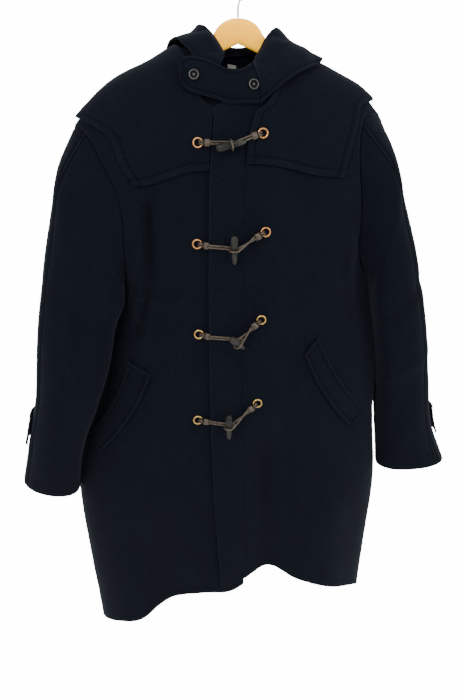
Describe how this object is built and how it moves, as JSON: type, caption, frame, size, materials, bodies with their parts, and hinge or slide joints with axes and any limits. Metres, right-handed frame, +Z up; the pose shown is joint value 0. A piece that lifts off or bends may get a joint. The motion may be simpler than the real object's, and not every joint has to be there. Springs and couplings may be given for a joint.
{
  "type": "duffle coat and hanger",
  "caption": "Knee-length hooded coat of heavy wool with toggle closings, a shoulder yoke and slanted welt pockets, hanging open-sleeved on a wooden hanger.",
  "frame": {"origin": "the place inside the hanger's hook that rests on a rail", "axes": "+Z up, +X the wearer's left, the front faces -Y"},
  "size_m": [0.81, 0.3264, 1.2062],
  "materials": {
    "melton": "thick navy wool melton, matt with a short nap",
    "thong": "dark brown leather, worn",
    "toggle": "grey-olive horn, satin",
    "eyelet": "coppery brass",
    "button": "near-black, satin",
    "label": "plain woven, blank",
    "hanger_wood": "honey wood, lacquered",
    "hook": "plain bright wire"
  },
  "bodies": {
    "root": {"front_left": "melton", "front_right": "melton", "back": "melton", "yoke_front_left": "melton", "yoke_front_right": "melton", "yoke_back": "melton", "sleeve_left_front": "melton", "sleeve_left_back": "melton", "sleeve_right_front": "melton", "sleeve_right_back": "melton", "hood_left": "melton", "hood_right": "melton", "throat_tab": "melton", "pocket_welt_left": "melton", "pocket_welt_right": "melton", "cuff_strap_left": "melton", "cuff_strap_right": "melton", "tab_button_left": "button", "tab_button_right": "button", "cuff_button_left": "button", "cuff_button_right": "button", "toggle_1": "toggle", "thong_loop_1": "thong", "thong_toggle_1": "thong", "eyelet_left_1": "eyelet", "thong_wrap_left_1": "thong", "eyelet_right_1": "eyelet", "thong_wrap_right_1": "thong", "toggle_2": "toggle", "thong_loop_2": "thong", "thong_toggle_2": "thong", "eyelet_left_2": "eyelet", "thong_wrap_left_2": "thong", "eyelet_right_2": "eyelet", "thong_wrap_right_2": "thong", "toggle_3": "toggle", "thong_loop_3": "thong", "thong_toggle_3": "thong", "eyelet_left_3": "eyelet", "thong_wrap_left_3": "thong", "eyelet_right_3": "eyelet", "thong_wrap_right_3": "thong", "toggle_4": "toggle", "thong_loop_4": "thong", "thong_toggle_4": "thong", "eyelet_left_4": "eyelet", "thong_wrap_left_4": "thong", "eyelet_right_4": "eyelet", "thong_wrap_right_4": "thong", "neck_label": "label", "hanger_wood": "hanger_wood", "hanger_hook": "hook"}
  },
  "joints": []
}
